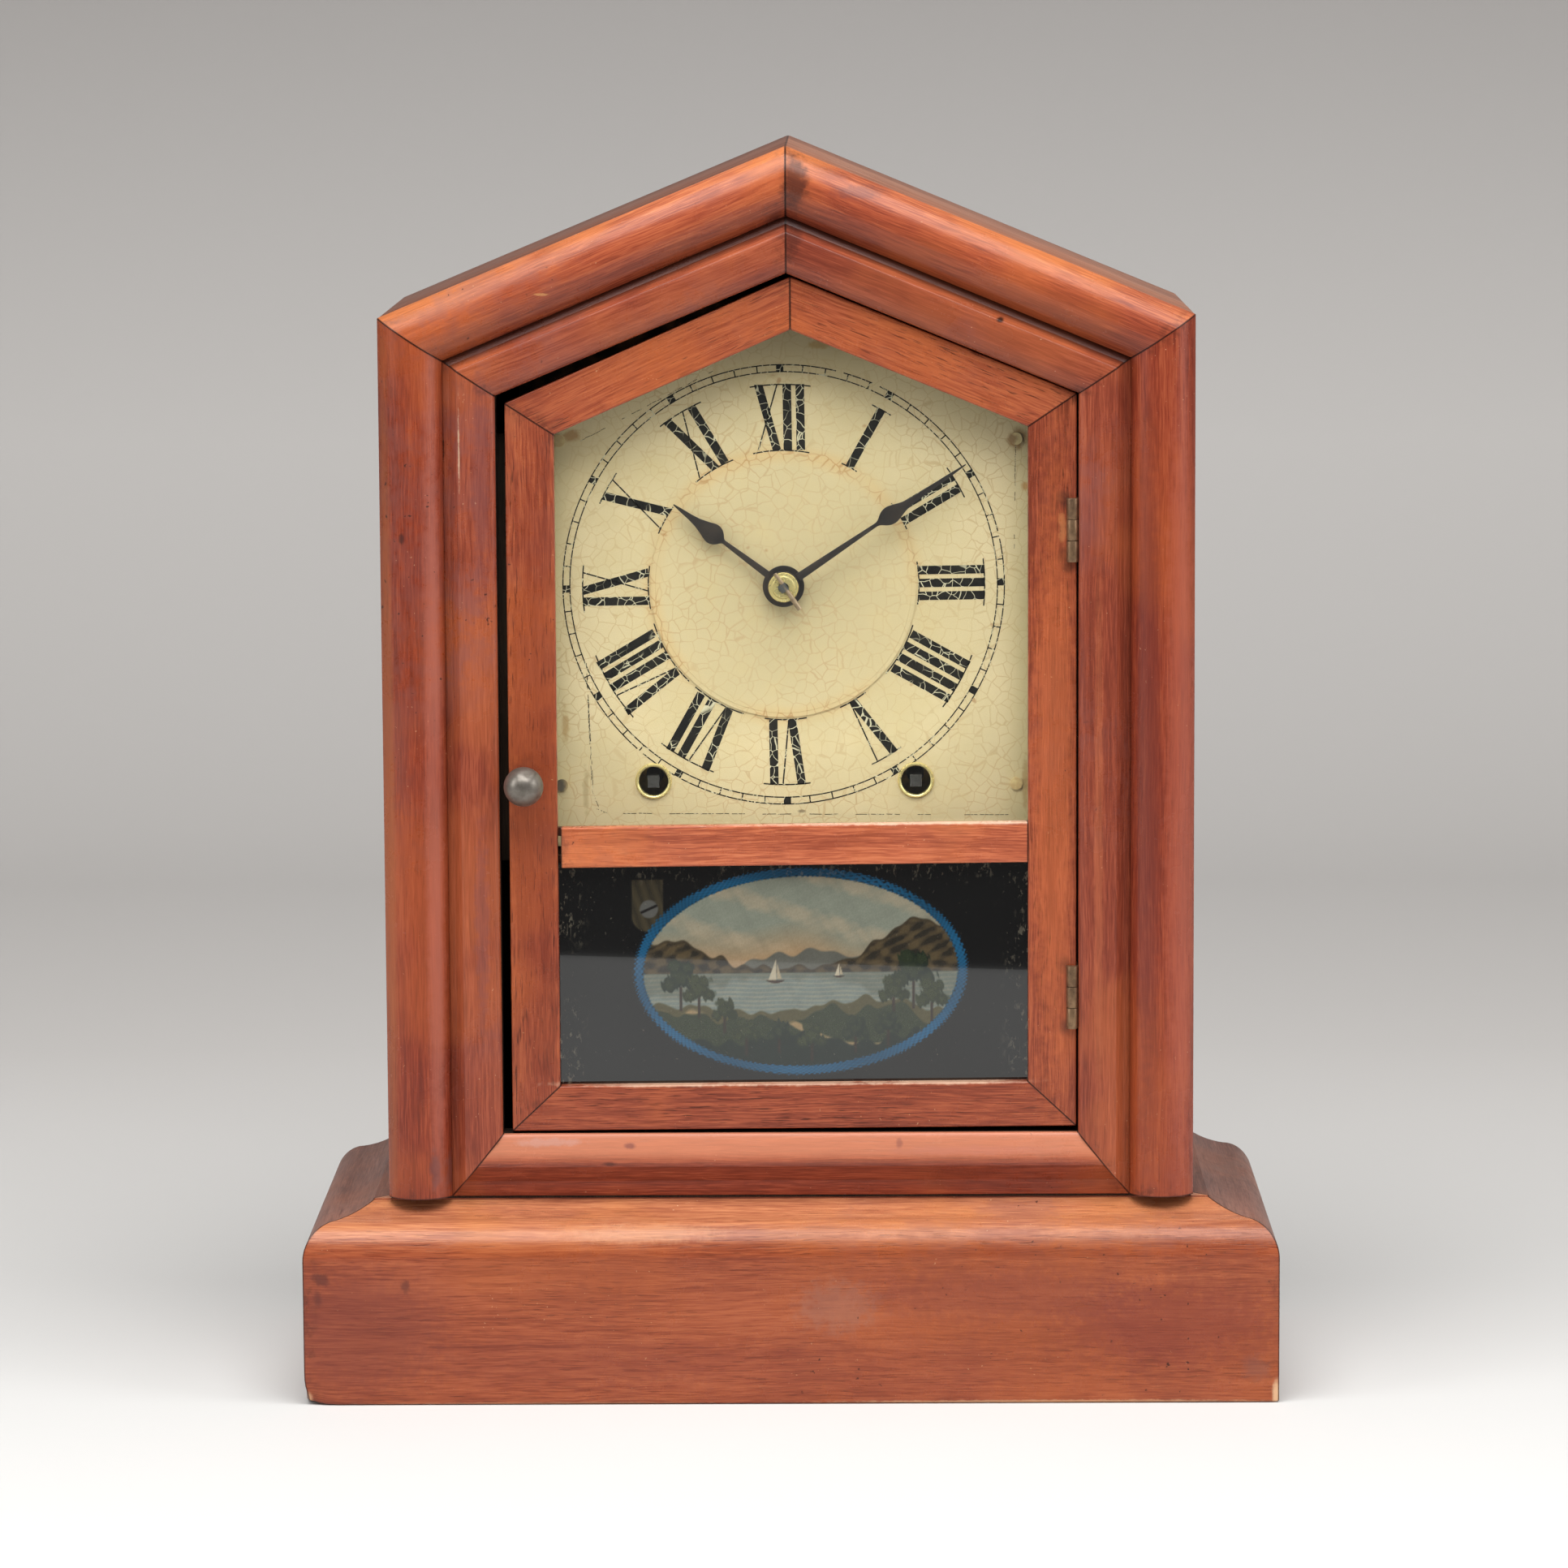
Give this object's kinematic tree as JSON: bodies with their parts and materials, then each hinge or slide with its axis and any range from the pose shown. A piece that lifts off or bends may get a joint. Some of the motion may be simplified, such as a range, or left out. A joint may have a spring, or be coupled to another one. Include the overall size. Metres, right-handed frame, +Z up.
{
  "type": "cottage clock",
  "caption": "Small spring-driven pendulum shelf clock with a pointed top, half-round mouldings, a glazed hinged door over dial and painted tablet, and a moulded base.",
  "frame": {"origin": "on the table under the middle of the base, at the centre of the overall box's lower face", "axes": "+Z up, -Y towards the front of the clock, +X to the right as seen from the front"},
  "size_m": [0.267, 0.116, 0.3424],
  "materials": {
    "case_wood": "worn shellac over red-brown stained wood, satin with dull patches",
    "moulding_wood": "worn shellac over red-brown stained wood, glossier on the rounds, rubbed pale on the arrises",
    "door_wood": "darker red-brown shellacked wood, open pores, rubbed pale at the edges",
    "inside_wood": "unfinished pine and poplar, dusty brown",
    "dial_paint": "cream paint on zinc, finely crazed and yellowed, black printed numerals",
    "eyelet_brass": "dull yellow brass",
    "hinge_brass": "dark tarnished brass with grime at the joints",
    "knob_metal": "worn grey metal knob, soft shine",
    "clear_glass": "clear old window glass, lightly dusty",
    "tablet_glass": "glass painted black on its back with a blue ring and a small coloured scene",
    "plate_brass": "aged clock brass, brushed",
    "wheel_brass": "aged clock brass, brighter on the teeth",
    "arbor_steel": "grey turned steel, lightly oxidised",
    "spring_steel": "blued spring steel under old oil",
    "hand_steel": "dark blued steel gone nearly black",
    "bob_brass": "pressed brass over lead, tarnished",
    "gong_steel": "dark blued gong wire in a japanned boss"
  },
  "bodies": {
    "case": {"base_front": "case_wood", "base_sides": "case_wood", "base_back_rail": "inside_wood", "case_floor": "inside_wood", "glue_blocks": "inside_wood", "side_boards": "case_wood", "roof_boards": "case_wood", "back_board": "inside_wood", "front_frame": "inside_wood", "column_left": "moulding_wood", "column_right": "moulding_wood", "roof_moulding_left": "moulding_wood", "roof_moulding_right": "moulding_wood", "surround_left": "moulding_wood", "surround_right": "moulding_wood", "surround_bottom": "moulding_wood", "surround_top_left": "moulding_wood", "surround_top_right": "moulding_wood", "dial_rails": "inside_wood", "dial": "dial_paint", "dial_eyelets": "eyelet_brass", "screws": "arbor_steel", "hinge_case_leaves": "hinge_brass", "plate_front": "plate_brass", "plate_back": "plate_brass", "escape_bridge": "plate_brass", "seat_blocks": "inside_wood", "mainsprings": "spring_steel", "gong": "gong_steel"},
    "door": {"door_stile_left": "door_wood", "door_stile_right": "door_wood", "door_rail_top_left": "door_wood", "door_rail_top_right": "door_wood", "door_rail_middle": "door_wood", "door_rail_bottom": "door_wood", "dial_glass": "clear_glass", "tablet_glass": "tablet_glass", "glass_strips": "door_wood", "hinge_door_leaves": "hinge_brass"},
    "knob": {"door_knob": "knob_metal"},
    "minute": {"centre_arbor": "arbor_steel", "minute_hand": "hand_steel", "hand_collet": "eyelet_brass"},
    "hour": {"hour_wheel": "wheel_brass", "hour_hand": "hand_steel"},
    "minute_idler": {"minute_wheel": "wheel_brass"},
    "pendulum_body": {"pendulum": "bob_brass"},
    "verge_body": {"verge": "arbor_steel"},
    "escape_body": {"escape_wheel": "wheel_brass"},
    "third_body": {"third_wheel": "wheel_brass"},
    "centre_body": {"centre_wheel": "wheel_brass"},
    "second_body": {"second_wheel": "wheel_brass"},
    "great_time_body": {"great_wheel_time": "wheel_brass"},
    "wind_time_body": {"winding_arbor_time": "arbor_steel"},
    "wind_strike_body": {"winding_arbor_strike": "arbor_steel"},
    "strike_pin_body": {"strike_pin_wheel": "wheel_brass"},
    "great_strike_body": {"great_wheel_strike": "wheel_brass"},
    "strike_third_body": {"strike_third_wheel": "wheel_brass"},
    "fly_body": {"strike_fly": "wheel_brass"},
    "hammer_body": {"strike_hammer": "arbor_steel"}
  },
  "joints": [
    {"name": "door_swing", "type": "hinge", "parent": "case", "child": "door", "pos_m": [0.07745, -0.041, 0.17], "axis": [0, 0, 1], "range_deg": [0, 120]},
    {"name": "knob_turn", "type": "hinge", "parent": "door", "child": "knob", "pos_m": [-0.072, -0.037, 0.1696], "axis": [0, 1, 0], "range_deg": [0, 90]},
    {"name": "minute_hand_turn", "type": "hinge", "parent": "case", "child": "minute", "pos_m": [-0.0012, -0.017, 0.2221], "axis": [0, 1, 0], "continuous": true},
    {"name": "hour_hand_turn", "type": "hinge", "parent": "case", "child": "hour", "pos_m": [-0.0012, -0.022, 0.2221], "axis": [0, 1, 0], "continuous": true},
    {"name": "minute_wheel_turn", "type": "hinge", "parent": "case", "child": "minute_idler", "pos_m": [-0.01473, -0.012, 0.21718], "axis": [0, 1, 0], "continuous": true},
    {"name": "pendulum_swing", "type": "hinge", "parent": "case", "child": "pendulum_body", "pos_m": [0.01081, -0.018, 0.2382], "axis": [0, 1, 0], "range_deg": [-2.5, 2.5]},
    {"name": "verge_rock", "type": "hinge", "parent": "case", "child": "verge_body", "pos_m": [0.01081, -0.012, 0.2313], "axis": [0, 1, 0], "range_deg": [-3.3, 3.3]},
    {"name": "escape_wheel_turn", "type": "hinge", "parent": "case", "child": "escape_body", "pos_m": [0.02521, 0.008, 0.22374], "axis": [0, 1, 0], "range_deg": [-2.2, 2.2]},
    {"name": "third_wheel_turn", "type": "hinge", "parent": "case", "child": "third_body", "pos_m": [0.0144, 0.008, 0.20991], "axis": [0, 1, 0], "range_deg": [-0.2, 0.2]},
    {"name": "centre_wheel_turn", "type": "hinge", "parent": "case", "child": "centre_body", "pos_m": [-0.0012, 0.008, 0.2221], "axis": [0, 1, 0], "range_deg": [-0.02, 0.02]},
    {"name": "second_wheel_turn", "type": "hinge", "parent": "case", "child": "second_body", "pos_m": [0.02018, 0.008, 0.19097], "axis": [0, 1, 0], "range_deg": [-0.02, 0.02]},
    {"name": "great_wheel_time_turn", "type": "hinge", "parent": "case", "child": "great_time_body", "pos_m": [0.0349, 0.008, 0.1681], "axis": [0, 1, 0], "range_deg": [-0.003, 0.003]},
    {"name": "wind_time", "type": "hinge", "parent": "case", "child": "wind_time_body", "pos_m": [0.0349, 0.008, 0.1681], "axis": [0, 1, 0], "continuous": true},
    {"name": "wind_strike", "type": "hinge", "parent": "case", "child": "wind_strike_body", "pos_m": [-0.0373, 0.008, 0.1681], "axis": [0, 1, 0], "continuous": true},
    {"name": "strike_pin_wheel_turn", "type": "hinge", "parent": "case", "child": "strike_pin_body", "pos_m": [-0.02516, 0.008, 0.19244], "axis": [0, 1, 0], "continuous": true},
    {"name": "great_wheel_strike_turn", "type": "hinge", "parent": "case", "child": "great_strike_body", "pos_m": [-0.0373, 0.008, 0.1681], "axis": [0, 1, 0], "continuous": true},
    {"name": "strike_third_wheel_turn", "type": "hinge", "parent": "case", "child": "strike_third_body", "pos_m": [-0.02923, 0.008, 0.20874], "axis": [0, 1, 0], "continuous": true},
    {"name": "fly_turn", "type": "hinge", "parent": "case", "child": "fly_body", "pos_m": [-0.02714, 0.008, 0.22056], "axis": [0, 1, 0], "continuous": true},
    {"name": "hammer_lift", "type": "hinge", "parent": "case", "child": "hammer_body", "pos_m": [-0.0112, 0.013, 0.1581], "axis": [0, 1, 0], "range_deg": [0, 8], "stiffness_Nm_per_rad": 0.02, "springref_deg": -17.19}
  ],
  "couplings": [
    {"joint": "hour_hand_turn", "follows": "minute_hand_turn", "ratio": 0.083333},
    {"joint": "minute_wheel_turn", "follows": "minute_hand_turn", "ratio": -0.33333},
    {"joint": "verge_rock", "follows": "pendulum_swing", "ratio": 1.3},
    {"joint": "escape_wheel_turn", "follows": "pendulum_swing", "ratio": 0.85714},
    {"joint": "third_wheel_turn", "follows": "pendulum_swing", "ratio": -0.071429},
    {"joint": "centre_wheel_turn", "follows": "pendulum_swing", "ratio": 0.0071429},
    {"joint": "second_wheel_turn", "follows": "pendulum_swing", "ratio": 0.0071429},
    {"joint": "great_wheel_time_turn", "follows": "pendulum_swing", "ratio": -0.00095238},
    {"joint": "great_wheel_strike_turn", "follows": "strike_pin_wheel_turn", "ratio": -0.13333},
    {"joint": "strike_third_wheel_turn", "follows": "strike_pin_wheel_turn", "ratio": -6},
    {"joint": "fly_turn", "follows": "strike_pin_wheel_turn", "ratio": 30}
  ]
}
